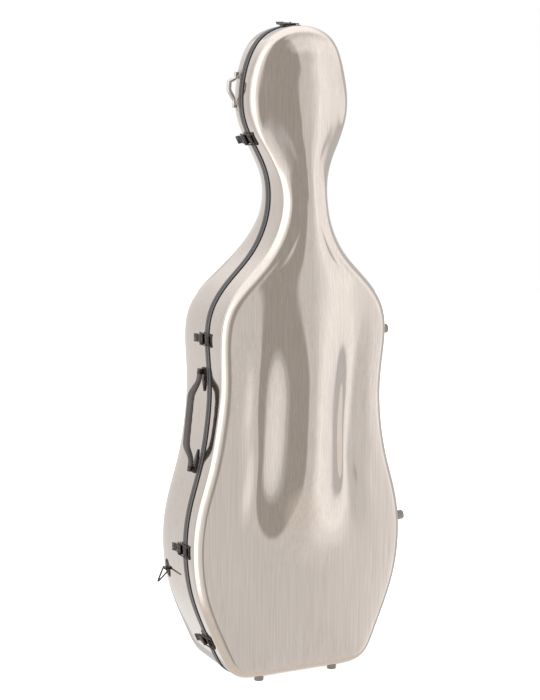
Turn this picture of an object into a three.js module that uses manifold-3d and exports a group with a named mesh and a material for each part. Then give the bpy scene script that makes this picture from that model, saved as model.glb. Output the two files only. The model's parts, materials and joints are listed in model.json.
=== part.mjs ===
import * as THREE from 'three'
import { mergeVertices } from 'three/addons/utils/BufferGeometryUtils.js'
import Module from 'manifold-3d'

// Hard case for a cello: two glossy moulded shells that meet at a flat seam, hinged on the right.
// Lengths are in millimetres. The lid faces -Y, the back shell +Y, and the case stands on its feet.

const wasm = await Module()
wasm.setup()

// Driving sizes of the closed shells
const shellHeight = 1350
const lowerHalfWidth = 241.5
const waistHalfWidth = 185
const upperHalfWidth = 189.5
const neckHalfWidth = 51
const headHalfWidth = 111
const shellWall = 3
const lidWallDepth = 60
const lidCornerRadius = 38
const lidCrown = 18
const faceRoom = 60
const backWallDepth = 108
const backCornerInset = 66
const backCornerDepth = 60
const backCrown = 10
const ridgeHeight = 40
const ridgeHalfWidth = 126
const dentDepth = 12
const dentCentre = 101
const dentSpread = 22

// Clearances that pieces share
const seatGap = 0.3
const runningGap = 0.35
const cutOverrun = 20

// Half of the outline from the bottom centre to the top centre: share of the height, half width it follows, share
const outlineShares = [
  [0, lowerHalfWidth, 0],
  [0, lowerHalfWidth, 0.2],
  [0, lowerHalfWidth, 0.43],
  [0.0095, lowerHalfWidth, 0.63],
  [0.038, lowerHalfWidth, 0.735],
  [0.077, lowerHalfWidth, 0.832],
  [0.137, lowerHalfWidth, 0.952],
  [0.2, lowerHalfWidth, 1],
  [0.263, lowerHalfWidth, 0.971],
  [0.333, waistHalfWidth, 1.125],
  [0.4, waistHalfWidth, 1.032],
  [0.463, waistHalfWidth, 1],
  [0.525, upperHalfWidth, 1],
  [0.57, upperHalfWidth, 0.966],
  [0.612, upperHalfWidth, 0.789],
  [0.653, upperHalfWidth, 0.515],
  [0.695, neckHalfWidth, 1.255],
  [0.742, neckHalfWidth, 1],
  [0.785, neckHalfWidth, 1.16],
  [0.83, headHalfWidth, 0.805],
  [0.874, headHalfWidth, 0.998],
  [0.918, headHalfWidth, 0.977],
  [0.963, headHalfWidth, 0.797],
  [0.991, headHalfWidth, 0.477],
  [1, headHalfWidth, 0],
]
const halfSegments = 38
const fineSteps = 1200
const curvePull = 42
const spineLowShare = 0.12
const spineHighShare = 0.94
const insetLimitShare = 0.7
const slantLimit = 1.5

// Depth of the straight wall, and height of the lid's ridge and dents, along the height
const lidWallShares = [
  [0, 0.62], [0.1, 0.57], [0.2, 0.59], [0.3, 0.62], [0.4, 0.7], [0.48, 0.88], [0.56, 1], [0.64, 0.96], [0.7, 0.99],
  [0.75, 0.95], [0.81, 0.7], [0.87, 0.49], [0.93, 0.45], [1, 0.7],
]
const lidCornerShares = [
  [0, 0.56], [0.3, 0.55], [0.56, 0.56], [0.65, 0.74], [0.74, 0.9], [0.81, 0.88], [0.87, 0.84], [1, 0.84],
]
const lidCrownShares = [
  [0, 0.4], [0.66, 0.4], [0.76, 0.7], [0.86, 1], [1, 1],
]
const backWallShares = [
  [0, 1.08], [0.12, 1.03], [0.3, 0.97], [0.55, 0.93], [0.64, 0.64], [0.74, 0.2], [0.82, 0.23], [0.9, 0.24], [1, 0.3],
]
const backCornerShares = [
  [0, 1], [0.55, 1], [0.66, 0.85], [0.76, 0.56], [0.87, 0.48], [1, 0.5],
]
const ridgeShares = [
  [0, 0], [0.17, 0], [0.23, 0.28], [0.31, 0.85], [0.39, 1], [0.47, 0.94], [0.56, 0.5], [0.66, 0.22], [0.76, 0.1], [0.88, 0.16], [1, 0],
]
const dentShares = [
  [0, 0], [0.2, 0], [0.28, 0.75], [0.36, 1], [0.47, 0.8], [0.58, 0], [1, 0],
]
const ridgeFlatShare = 0

// Finishes
const shellMaterial = new THREE.MeshStandardMaterial({ color: '#bfb6ad', roughness: 0.22, metalness: 0.75 })
const rimMaterial = new THREE.MeshStandardMaterial({ color: '#4d4a49', roughness: 0.5, metalness: 0.1 })
const hardwareMaterial = new THREE.MeshStandardMaterial({ color: '#3a3736', roughness: 0.3, metalness: 0.9 })
const gripMaterial = new THREE.MeshStandardMaterial({ color: '#55504d', roughness: 0.6, metalness: 0 })
const footMaterial = new THREE.MeshStandardMaterial({ color: '#4a4746', roughness: 0.8, metalness: 0 })
const liningMaterial = new THREE.MeshStandardMaterial({ color: '#3b3d42', roughness: 0.95, metalness: 0 })
const webbingMaterial = new THREE.MeshStandardMaterial({ color: '#26272a', roughness: 0.9, metalness: 0 })

// Solid and mesh helpers
const mergeTolerance = 1e-3
const Z_UP = new THREE.Vector3(0, 0, 1)
const Y_BACK = new THREE.Vector3(0, 1, 0)

function tidied(geometry) {
  const bare = new THREE.BufferGeometry()
  bare.setAttribute('position', geometry.getAttribute('position'))
  bare.setIndex(geometry.getIndex())
  const merged = mergeVertices(bare, mergeTolerance)
  const position = merged.getAttribute('position')
  const source = merged.getIndex().array
  const kept = []
  const a = new THREE.Vector3()
  const b = new THREE.Vector3()
  const c = new THREE.Vector3()
  let volume = 0
  for (let i = 0; i < source.length; i += 3) {
    const [p, q, r] = [source[i], source[i + 1], source[i + 2]]
    if (p === q || q === r || r === p) continue
    kept.push(p, q, r)
    a.fromBufferAttribute(position, p)
    b.fromBufferAttribute(position, q)
    c.fromBufferAttribute(position, r)
    volume += a.dot(b.cross(c))
  }
  merged.setIndex(volume < 0 ? kept.reverse() : kept)
  merged.computeVertexNormals()
  return merged
}

// A closed skin over rings of equal count. Its facets are mirrored left to right, and the first turned bands
// are cut along the diagonal that a skin lofted the other way has, so that nested skins stay parallel.
function loft(rings, looped = false, turned = 0) {
  const count = rings[0].length
  const positions = rings.flat().flatMap((p) => [p.x, p.y, p.z])
  const indices = []
  const bands = looped ? rings.length : rings.length - 1
  for (let i = 0; i < bands; i++) {
    const near = i * count
    const far = ((i + 1) % rings.length) * count
    for (let j = 0; j < count; j++) {
      const next = (j + 1) % count
      if ((i < turned) === (j < count / 2)) {
        indices.push(near + j, near + next, far + j, near + next, far + next, far + j)
      } else {
        indices.push(near + j, near + next, far + next, near + j, far + next, far + j)
      }
    }
  }
  const geometry = new THREE.BufferGeometry()
  geometry.setAttribute('position', new THREE.Float32BufferAttribute(positions, 3))
  geometry.setIndex(indices)
  return tidied(geometry)
}

function toSolid(geometry) {
  const clean = tidied(geometry)
  return new wasm.Manifold(new wasm.Mesh({
    numProp: 3,
    vertProperties: new Float32Array(clean.getAttribute('position').array),
    triVerts: new Uint32Array(clean.getIndex().array),
  }))
}

function toGeometry(solid) {
  const mesh = solid.getMesh()
  const geometry = new THREE.BufferGeometry()
  geometry.setAttribute('position', new THREE.Float32BufferAttribute(mesh.vertProperties, 3))
  geometry.setIndex(Array.from(mesh.triVerts))
  geometry.computeVertexNormals()
  return geometry
}

function joined(...geometries) {
  return toGeometry(geometries.map(toSolid).reduce((sum, solid) => sum.add(solid)))
}

function without(geometry, ...cutters) {
  return toGeometry(cutters.map(toSolid).reduce((rest, solid) => rest.subtract(solid), toSolid(geometry)))
}

function within(geometry, bounds) {
  return toGeometry(toSolid(geometry).intersect(toSolid(bounds)))
}

function box(low, high) {
  const size = new THREE.Vector3().subVectors(high, low)
  const centre = new THREE.Vector3().addVectors(low, high).multiplyScalar(0.5)
  return new THREE.BoxGeometry(size.x, size.y, size.z).translate(centre.x, centre.y, centre.z)
}

// A cylinder along one axis, from one point to another
function barrel(from, to, radius, sides) {
  const along = new THREE.Vector3().subVectors(to, from)
  const geometry = new THREE.CylinderGeometry(radius, radius, along.length(), sides)
  const turn = new THREE.Quaternion().setFromUnitVectors(Y_BACK, along.clone().normalize())
  const middle = new THREE.Vector3().addVectors(from, to).multiplyScalar(0.5)
  return geometry.applyQuaternion(turn).translate(middle.x, middle.y, middle.z)
}

// A flat outline in (x, y), extruded along z and centred on z = 0
function plate(points, width, holes = []) {
  const shape = new THREE.Shape(points.map(([x, y]) => new THREE.Vector2(x, y)))
  for (const [x, y, radius, sides] of holes) {
    const corners = Array.from({ length: sides }, (_, i) => {
      const angle = (2 * Math.PI * i) / sides
      return new THREE.Vector2(x + radius * Math.cos(angle), y + radius * Math.sin(angle))
    })
    shape.holes.push(new THREE.Path(corners))
  }
  const geometry = new THREE.ExtrudeGeometry(shape, { depth: width, bevelEnabled: false, steps: 1 })
  return tidied(geometry.translate(0, 0, -width / 2))
}

// A bar along a flat route; radiusAt gives the section's radius at a knot and an angle from the route's plane
function bar(knots, planeNormal, radiusAt, sides, closed = false) {
  const rings = knots.map((knot, i) => {
    const before = knots[closed ? (i + knots.length - 1) % knots.length : Math.max(i - 1, 0)]
    const after = knots[closed ? (i + 1) % knots.length : Math.min(i + 1, knots.length - 1)]
    const ahead = new THREE.Vector3().subVectors(after, knot).normalize()
    const behind = new THREE.Vector3().subVectors(knot, before).normalize()
    const tangent = ahead.add(behind).normalize()
    const side = new THREE.Vector3().crossVectors(tangent, planeNormal).normalize()
    const up = new THREE.Vector3().crossVectors(side, tangent)
    return Array.from({ length: sides }, (_, j) => {
      const angle = (2 * Math.PI * j) / sides
      const radius = radiusAt(i, angle)
      return knot.clone()
        .addScaledVector(side, radius * Math.cos(angle))
        .addScaledVector(up, radius * Math.sin(angle))
    })
  })
  if (closed) return loft(rings, true)
  const cap = (knot) => rings[0].map(() => knot.clone())
  return loft([cap(knots[0]), ...rings, cap(knots[knots.length - 1])])
}

function addMesh(parent, name, geometry, material) {
  const mesh = new THREE.Mesh(geometry, material)
  mesh.name = name
  parent.add(mesh)
  return mesh
}

// Smooth curve through a table of [share, value] pairs
function tableAt(table, share) {
  const last = table.length - 1
  const at = Math.min(Math.max(share, table[0][0]), table[last][0])
  let i = 0
  while (i < last - 1 && at > table[i + 1][0]) i++
  const slope = (k) => {
    if (k === 0 || k === last) return 0
    const rise = table[k][1] - table[k - 1][1]
    const fall = table[k + 1][1] - table[k][1]
    return rise * fall <= 0 ? 0 : (table[k + 1][1] - table[k - 1][1]) / (table[k + 1][0] - table[k - 1][0])
  }
  const span = table[i + 1][0] - table[i][0]
  const t = (at - table[i][0]) / span
  return table[i][1] * (1 + 2 * t) * (1 - t) ** 2 + table[i + 1][1] * (3 - 2 * t) * t ** 2
    + span * (slope(i) * t * (1 - t) ** 2 - slope(i + 1) * (1 - t) * t ** 2)
}

function smoothStep(t) {
  const s = Math.min(Math.max(t, 0), 1)
  return s * s * (3 - 2 * s)
}

// The outline as one closed curve with continuous curvature, seen from the front: x across, y up
class OutlineCurve extends THREE.Curve {
  constructor(points) {
    super()
    const count = points.length
    this.points = points
    this.gaps = points.map((p, i) => p.distanceTo(points[(i + 1) % count]))
    this.tangents = points.map(() => new THREE.Vector2())
    const rise = (i) => points[(i + 1) % count].clone().sub(points[i]).divideScalar(this.gaps[i])
    for (let pass = 0; pass < OutlineCurve.passes; pass++) {
      for (let i = 0; i < count; i++) {
        const back = (i + count - 1) % count
        const [h0, h1] = [this.gaps[back], this.gaps[i]]
        const pull = rise(back).multiplyScalar(h1).add(rise(i).multiplyScalar(h0)).multiplyScalar(3)
        pull.sub(this.tangents[back].clone().multiplyScalar(h1))
        pull.sub(this.tangents[(i + 1) % count].clone().multiplyScalar(h0))
        this.tangents[i].copy(pull.divideScalar(2 * (h0 + h1)))
      }
    }
    this.total = this.gaps.reduce((sum, gap) => sum + gap, 0)
  }

  getPoint(t, target = new THREE.Vector2()) {
    let rest = t * this.total
    let i = 0
    while (i < this.points.length - 1 && rest > this.gaps[i]) {
      rest -= this.gaps[i]
      i++
    }
    const gap = this.gaps[i]
    const next = (i + 1) % this.points.length
    const u = rest / gap
    return target.set(0, 0)
      .addScaledVector(this.points[i], (1 + 2 * u) * (1 - u) ** 2)
      .addScaledVector(this.points[next], (3 - 2 * u) * u ** 2)
      .addScaledVector(this.tangents[i], gap * u * (1 - u) ** 2)
      .addScaledVector(this.tangents[next], -gap * (1 - u) * u ** 2)
  }
}
OutlineCurve.passes = 40

const rightHalf = outlineShares.map(([height, width, share]) => new THREE.Vector2(width * share, height * shellHeight))
const leftHalf = rightHalf.slice(1, -1).reverse().map((p) => new THREE.Vector2(-p.x, p.y))
const outlineCurve = new OutlineCurve([...rightHalf, ...leftHalf])

// Stations on the outline, closer together where it bends, each with its outward normal
function outlineStations() {
  const fine = Array.from({ length: fineSteps + 1 }, (_, i) => outlineCurve.getPoint(i / (2 * fineSteps)))
  const reach = [0]
  for (let i = 1; i <= fineSteps; i++) {
    const step = fine[i].distanceTo(fine[i - 1])
    const before = fine[Math.max(i - 2, 0)]
    const after = fine[Math.min(i + 1, fineSteps)]
    const inward = fine[i - 1].clone().sub(before).angle()
    const outward = after.clone().sub(fine[i]).angle()
    const turn = Math.abs(Math.atan2(Math.sin(outward - inward), Math.cos(outward - inward))) / 2
    reach.push(reach[i - 1] + Math.hypot(step, curvePull * turn))
  }
  const total = reach[fineSteps]
  const right = []
  for (let k = 0; k <= halfSegments; k++) {
    const goal = (total * k) / halfSegments
    let i = reach.findIndex((r) => r >= goal)
    if (i < 0) i = fineSteps
    right.push(stationAt(i / (2 * fineSteps)))
  }
  right[0].point.x = 0
  right[halfSegments].point.x = 0
  const left = right.slice(1, -1).reverse().map(({ point, normal }) => ({
    point: new THREE.Vector2(-point.x, point.y),
    normal: new THREE.Vector2(-normal.x, normal.y),
  }))
  return [...right, ...left]
}

function stationAt(t) {
  const point = outlineCurve.getPoint(t)
  const step = 1 / (4 * fineSteps)
  const wrap = (u) => u - Math.floor(u)
  const along = outlineCurve.getPoint(wrap(t + step)).sub(outlineCurve.getPoint(wrap(t - step))).normalize()
  return { point, normal: new THREE.Vector2(along.y, -along.x) }
}

const stations = outlineStations()
const spineLow = spineLowShare * shellHeight
const spineHigh = spineHighShare * shellHeight
const spineOf = (point) => new THREE.Vector2(0, Math.min(Math.max(point.y, spineLow), spineHigh))

// The two halves: sign of y, wall depth, corner radii and the shape of the broad face
const lid = {
  side: -1,
  wallDepth: (z) => lidWallDepth * tableAt(lidWallShares, z / shellHeight),
  cornerInset: (z) => lidCornerRadius * tableAt(lidCornerShares, z / shellHeight),
  cornerDepth: (z) => lidCornerRadius * tableAt(lidCornerShares, z / shellHeight),
  crown: (z) => lidCrown * tableAt(lidCrownShares, z / shellHeight),
  relief: (x, z) => {
    const across = Math.abs(x) / ridgeHalfWidth
    const ridge = 1 - smoothStep((across - ridgeFlatShare) / (1 - ridgeFlatShare))
    const dent = Math.exp(-(((Math.abs(x) - dentCentre) / dentSpread) ** 2))
    return ridgeHeight * ridge * tableAt(ridgeShares, z / shellHeight)
      - dentDepth * dent * tableAt(dentShares, z / shellHeight)
  },
}
const back = {
  side: 1,
  wallDepth: (z) => backWallDepth * tableAt(backWallShares, z / shellHeight),
  cornerInset: () => backCornerInset,
  cornerDepth: (z) => backCornerDepth * tableAt(backCornerShares, z / shellHeight),
  crown: () => backCrown,
  relief: () => 0,
}

// A point of a half's surface, moved in by an offset: a wall place, a corner angle or a share across the face
function surfacePoint(half, station, place, offset) {
  const rim = station.point.clone().addScaledVector(station.normal, -offset)
  if (place.y !== undefined) return new THREE.Vector3(rim.x, half.side * place.y, rim.y)
  const spine = spineOf(station.point)
  const ray = spine.clone().sub(rim)
  const reach = ray.length()
  ray.normalize()
  const slant = Math.min(1 / Math.abs(ray.dot(station.normal)), slantLimit)
  const full = Math.min((half.cornerInset(rim.y) - offset) * slant, insetLimitShare * reach)
  const angle = place.corner === undefined ? Math.PI / 2 : place.corner
  const foot = rim.clone().addScaledVector(ray, full * (1 - Math.cos(angle)))
  const depth = (z) => half.wallDepth(z) + (half.cornerDepth(z) - offset) * Math.sin(angle)
  if (place.face === undefined) return new THREE.Vector3(foot.x, half.side * depth(foot.y), foot.y)
  const spot = spine.clone().lerp(foot, place.face)
  const room = smoothStep((reach - full) / faceRoom)
  const swell = room * (half.crown(spot.y) * (1 - place.face ** 2) + half.relief(spot.x, spot.y) * (1 - place.face ** 4))
  return new THREE.Vector3(spot.x, half.side * (depth(spot.y) + swell), spot.y)
}

const wallEnd = { corner: 0 }
const corners = (count) => Array.from({ length: count }, (_, i) => ({ corner: (Math.PI / 2) * (i + 1) / count }))
const faces = (shares) => shares.map((share) => ({ face: share }))
const ringsOf = (half, places, offset) => places.map((place) => stations.map((s) => surfacePoint(half, s, place, offset)))

const lidFaceShares = [0.84, 0.68, 0.53, 0.39, 0.26, 0.13, 0]
const backOuterFaceShares = [0.66, 0.33, 0]
const backInnerFaceShares = [0.5, 0]
const outerPlaces = {
  lid: [wallEnd, ...corners(4), ...faces(lidFaceShares)],
  back: [wallEnd, ...corners(4), ...faces(backOuterFaceShares)],
}
const innerPlaces = {
  lid: [wallEnd, ...corners(2), ...faces(lidFaceShares)],
  back: [wallEnd, ...corners(2), ...faces(backInnerFaceShares)],
}

// Rim: a channel on each shell's edge, with a tongue on the back half and a groove in the lid half
const rimSeam = 0.15
const rimWidth = 9
const rimProud = 1.6
const rimWeb = 2
const rimInnerLeg = 2
const tongueHeight = 1.8
const tongueHalfWidth = 2.6
const shellEdge = rimSeam + rimWeb + seatGap
const rimInner = shellWall + seatGap + rimInnerLeg

function rimGeometry(half, tongue) {
  const middle = (rimProud - rimInner) / 2
  const section = [
    [rimProud, rimWidth],
    [rimProud, rimSeam],
    [middle + tongueHalfWidth, rimSeam],
    [middle, rimSeam + tongue],
    [middle - tongueHalfWidth, rimSeam],
    [-rimInner, rimSeam],
    [-rimInner, rimWidth],
    [-shellWall - seatGap, rimWidth],
    [-shellWall - seatGap, rimSeam + rimWeb],
    [seatGap, rimSeam + rimWeb],
    [seatGap, rimWidth],
  ]
  return loft(section.map(([out, y]) => stations.map((s) => surfacePoint(half, s, { y }, -out))), true)
}

// Padded lining: follows the shell inside, with its own softer inner face
const liningWall = 7
const liningFace = 12
const liningLip = rimWidth + seatGap
const liningOuter = shellWall + seatGap
const liningInnerFaceShares = [0.62, 0.3, 0]
const innerHalf = (half) => ({ ...half, cornerDepth: (z) => half.cornerDepth(z) - (liningFace - liningWall) })
const cavityPlaces = [wallEnd, ...corners(2), ...faces(liningInnerFaceShares)]

function shellGeometry(half, outer, inner) {
  const edge = { y: shellEdge }
  return loft([
    ...ringsOf(half, [edge, ...outer], 0).reverse(),
    ...ringsOf(half, [edge, ...inner], shellWall),
  ], false, outer.length)
}

function liningGeometry(half, inner) {
  const lip = { y: liningLip }
  return loft([
    ...ringsOf(half, [lip, ...inner], liningOuter).reverse(),
    ...ringsOf(innerHalf(half), [lip, ...cavityPlaces], liningOuter + liningWall),
  ], false, inner.length)
}

// Everything inside a half's outer surface, or inside its lining, closed at the seam
function closedAtSeam(half, places, offset) {
  const seam = { y: 0 }
  const flat = stations.map(({ point }) => new THREE.Vector3(spineOf(point).x, 0, spineOf(point).y))
  return loft([flat, ...ringsOf(half, [seam, ...places], offset)])
}
const lidBody = closedAtSeam(lid, outerPlaces.lid, -seatGap)
const backBody = closedAtSeam(back, outerPlaces.back, -seatGap)
const lidCavity = closedAtSeam(innerHalf(lid), cavityPlaces, liningOuter + liningWall + seatGap)
const backCavity = closedAtSeam(innerHalf(back), cavityPlaces, liningOuter + liningWall + seatGap)

const caseModel = new THREE.Group()
addMesh(caseModel, 'back_shell', shellGeometry(back, outerPlaces.back, innerPlaces.back), shellMaterial)
addMesh(caseModel, 'lid_shell', shellGeometry(lid, outerPlaces.lid, innerPlaces.lid), shellMaterial)
addMesh(caseModel, 'back_rim', rimGeometry(back, -tongueHeight), rimMaterial)
addMesh(caseModel, 'lid_rim', rimGeometry(lid, tongueHeight + seatGap), rimMaterial)
addMesh(caseModel, 'back_lining', liningGeometry(back, innerPlaces.back), liningMaterial)
addMesh(caseModel, 'lid_lining', liningGeometry(lid, innerPlaces.lid), liningMaterial)

// Frames on the outline: x points out of the case, y to the back, z along the edge
const surfaceSamples = 8

function frameAt(point, normal, y = 0) {
  const outward = new THREE.Vector3(normal.x, 0, normal.y)
  const along = new THREE.Vector3().crossVectors(outward, Y_BACK)
  return new THREE.Matrix4().makeBasis(outward, Y_BACK, along).setPosition(point.x, y, point.y)
}

// How far the wall rises above a point, in the direction of a normal, within reach along the edge
function wallRise(point, normal, reach) {
  const along = new THREE.Vector2(-normal.y, normal.x)
  let rise = -Infinity
  stations.forEach((station, i) => {
    const next = stations[(i + 1) % stations.length]
    for (let k = 0; k <= surfaceSamples; k++) {
      const away = station.point.clone().lerp(next.point, k / surfaceSamples).sub(point)
      if (away.length() < 2 * reach && Math.abs(away.dot(along)) <= reach) rise = Math.max(rise, away.dot(normal))
    }
  })
  return rise
}

// A place in the front view, as shares of the lower half width and of the height
const placeAt = ([across, up]) => new THREE.Vector2(across * lowerHalfWidth, up * shellHeight)

// The frame nearest to a place on the outline, raised to the highest wall within reach
function edgeFrame(goal, reach, y = 0) {
  let nearest = 0
  let least = Infinity
  for (let i = 0; i < 2 * fineSteps; i++) {
    const away = outlineCurve.getPoint(i / (2 * fineSteps)).distanceTo(goal)
    if (away < least) [nearest, least] = [i, away]
  }
  const { point, normal } = stationAt(nearest / (2 * fineSteps))
  return frameAt(point.clone().addScaledVector(normal, wallRise(point, normal, reach)), normal, y)
}

function addPlaced(name, geometry, frame, material) {
  const mesh = addMesh(caseModel, name, geometry, material)
  mesh.applyMatrix4(frame)
  return mesh
}

const inCase = (geometry, frame) => geometry.clone().applyMatrix4(frame)
const shifted = (frame, x, y, z) => frame.clone().multiply(new THREE.Matrix4().makeTranslation(x, y, z))

// A piece drawn in a frame, seated on a body by cutting away what would lie inside it
function seated(geometry, frame, body) {
  return without(inCase(geometry, frame), body).applyMatrix4(frame.clone().invert())
}

// A turned piece about the x axis, from [radius, x] points
function turnedPiece(profile, sides) {
  const points = profile.map(([radius, x]) => new THREE.Vector2(radius, x))
  return tidied(new THREE.LatheGeometry(points, sides).rotateZ(-Math.PI / 2))
}

const seatDepth = 12

// Draw latches: a base with two ears on the back shell, a lever, a wire bail and a keeper on the lid
const latchPlaceShares = {
  top: [-0.01, 1.002],
  neck: [-0.375, 0.833],
  upper: [-0.785, 0.531],
  lower: [-1, 0.207],
  corner: [-0.785, 0.059],
}
const latchPivotRise = 5.2
const latchPivotY = 15
const latchLink = 10
const leverHalfWidth = 8.5
const earThickness = 1.6
const earRadius = 4
const latchPinRadius = 1.5
const latchBoreRadius = 2
const bailBoreRadius = 1.8
const bailWireRadius = 1.3
const bailHalfWidth = 12.1
const bailReach = 39.9
const bailDrop = 1
const bailCorner = 3
const latchPlateTop = 2
const latchPlateFront = 10
const latchPlateBack = 26
const latchPlateHalfWidth = leverHalfWidth + runningGap + earThickness
const keeperTop = 1.8
const keeperFront = 10
const keeperBack = 23
const keeperHalfWidth = 14
const hookHalfWidth = 8
const pinSides = 8
// Lever section as [outward, back] from the lever's own pivot
const leverSection = [
  [-1.1, -2.8], [1, -2.8], [2.9, -1.2], [2.9, 12.9], [1.6, 15.8], [1.6, 23.5], [2.8, 27.6], [5.6, 30.4],
  [4.2, 31.8], [0.9, 29], [-1, 24.2], [-1, 16.2], [-2.9, 13.1], [-2.9, -1],
]
// Hook section as [outward, back], measured from the seam
const hookSection = [
  [-1, -10.4], [5, -10.4], [6.4, -11.2], [6.4, -12.6], [5.6, -13.3], [-1, -13.3],
]

function latchBase() {
  const out = latchPlateHalfWidth
  const post = [
    [-1, -earRadius], [latchPivotRise, -earRadius], [latchPivotRise + earRadius, -earRadius / 2],
    [latchPivotRise + earRadius, earRadius / 2], [latchPivotRise, earRadius], [-1, earRadius + 2],
  ]
  const ear = () => plate(post, earThickness).translate(0, latchPivotY, 0)
  return joined(
    box(new THREE.Vector3(-seatDepth, latchPlateFront, -out), new THREE.Vector3(latchPlateTop, latchPlateBack, out)),
    ear().translate(0, 0, out - earThickness / 2),
    ear().translate(0, 0, -out + earThickness / 2),
    barrel(
      new THREE.Vector3(latchPivotRise, latchPivotY, -out),
      new THREE.Vector3(latchPivotRise, latchPivotY, out),
      latchPinRadius, pinSides,
    ),
  )
}

function latchBail() {
  const far = bailReach
  const out = bailHalfWidth
  const corner = bailCorner
  const knots = [
    [0, -out + corner], [0, out - corner], [corner, out], [far - corner, out],
    [far, out - corner], [far, -out + corner], [far - corner, -out], [corner, -out],
  ].map(([reach, z]) => new THREE.Vector3(-bailDrop * (reach / far), -reach, z))
  const normal = new THREE.Vector3(far, -bailDrop, 0).normalize()
  return bar(knots, normal, () => bailWireRadius, 6, true)
}

function latchKeeper() {
  return joined(
    box(new THREE.Vector3(-seatDepth, -keeperBack, -keeperHalfWidth), new THREE.Vector3(keeperTop, -keeperFront, keeperHalfWidth)),
    plate(hookSection, 2 * hookHalfWidth),
  )
}

for (const [spot, place] of Object.entries(latchPlaceShares)) {
  const frame = edgeFrame(placeAt(place), keeperHalfWidth)
  const lever = plate(leverSection, 2 * leverHalfWidth, [
    [0, 0, latchBoreRadius, pinSides],
    [0, latchLink, bailBoreRadius, pinSides],
  ])
  addPlaced(`latch_${spot}_base`, seated(latchBase(), frame, backBody), frame, hardwareMaterial)
  addPlaced(`latch_${spot}_lever`, lever, shifted(frame, latchPivotRise, latchPivotY, 0), hardwareMaterial)
  addPlaced(`latch_${spot}_bail`, latchBail(), shifted(frame, latchPivotRise, latchPivotY + latchLink, 0), hardwareMaterial)
  addPlaced(`latch_${spot}_keeper`, seated(latchKeeper(), frame, lidBody), frame, hardwareMaterial)
}

// Hinges: three on one straight line that touches the lower and the upper swell on the right
const hingeAxisRise = 6.5
const hingeSpread = 0.0378 * shellHeight
const hingeUpperShift = 0.0163 * shellHeight
const knuckleRadius = 3.8
const knuckleSides = 8
const hingePinRadius = 1.6
const hingeBoreRadius = 2.1
const leafHalfWidth = 18
const middleHalfWidth = 5.85
const leafFront = 9.6
const leafBack = 32
const leafTop = 2.2
const lowerBoutShare = 0.35
const upperBoutShare = 0.42
const tangentPasses = 6

function hingeLine() {
  const edge = stations.filter(({ point }) => point.x > 0).map(({ point }) => point)
  const normal = new THREE.Vector2(1, 0)
  const farthest = (points) => points.reduce((best, p) => (p.dot(normal) > best.dot(normal) ? p : best))
  let low
  let high
  for (let pass = 0; pass < tangentPasses; pass++) {
    low = farthest(edge.filter((p) => p.y < lowerBoutShare * shellHeight))
    high = farthest(edge.filter((p) => p.y > upperBoutShare * shellHeight))
    normal.set(high.y - low.y, low.x - high.x).normalize()
  }
  return { low, high, normal, along: new THREE.Vector2(-normal.y, normal.x) }
}
const hinge = hingeLine()
const hingeSpots = {
  lower: hinge.low.clone().addScaledVector(hinge.along, -hingeSpread),
  middle: hinge.low.clone().addScaledVector(hinge.along, hingeSpread),
  upper: hinge.high.clone().addScaledVector(hinge.along, hingeUpperShift),
}

// A leaf in the frame of the hinge line: knuckles with fingers, seated on the shell by its plate.
// The back leaf has the two outer knuckles and the pin, the lid leaf the middle one.
const knuckleTurn = Math.PI / 5
const knuckleCorners = 6

function knuckleOutline(wallGap, side) {
  const arc = Array.from({ length: knuckleCorners }, (_, i) => {
    const angle = -0.9 * Math.PI + knuckleTurn * i
    return [knuckleRadius * Math.cos(angle), side * knuckleRadius * Math.sin(angle)]
  })
  return [
    ...arc,
    [1.5 * leafTop - wallGap, side * 1.5 * leafFront],
    [-wallGap, side * 2 * leafFront],
    [-wallGap, side * leafFront],
    [leafTop - wallGap, side * leafFront],
  ]
}

function hingeLeaf(frame, plateFrame, wallGap, side) {
  const low = new THREE.Vector3(-seatDepth, Math.min(side * leafFront, side * leafBack), -leafHalfWidth)
  const high = new THREE.Vector3(leafTop, Math.max(side * leafFront, side * leafBack), leafHalfWidth)
  const leafPlate = inCase(box(low, high), plateFrame)
  const outline = knuckleOutline(wallGap, side)
  if (side < 0) {
    const middle = plate(outline, 2 * middleHalfWidth, [[0, 0, hingeBoreRadius, pinSides]])
    return without(joined(leafPlate, inCase(middle, frame)), lidBody)
  }
  const width = leafHalfWidth - middleHalfWidth - runningGap
  const shift = leafHalfWidth - width / 2
  const outer = (end) => inCase(plate(outline, width).translate(0, 0, end * shift), frame)
  const pin = barrel(new THREE.Vector3(0, 0, -shift), new THREE.Vector3(0, 0, shift), hingePinRadius, pinSides)
  return without(joined(leafPlate, outer(1), outer(-1), inCase(pin, frame)), backBody)
}

for (const [spot, point] of Object.entries(hingeSpots)) {
  const centre = point.clone().addScaledVector(hinge.normal, hingeAxisRise)
  const frame = frameAt(centre, hinge.normal)
  const plateFrame = edgeFrame(point, leafHalfWidth)
  const wallGap = -wallRise(centre, hinge.normal, leafHalfWidth)
  const inverse = frame.clone().invert()
  for (const [name, side] of [['back', 1], ['lid', -1]]) {
    const leaf = inCase(hingeLeaf(frame, plateFrame, wallGap, side), inverse)
    addPlaced(`hinge_${spot}_${name}_leaf`, leaf, frame, hardwareMaterial)
  }
}

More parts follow.
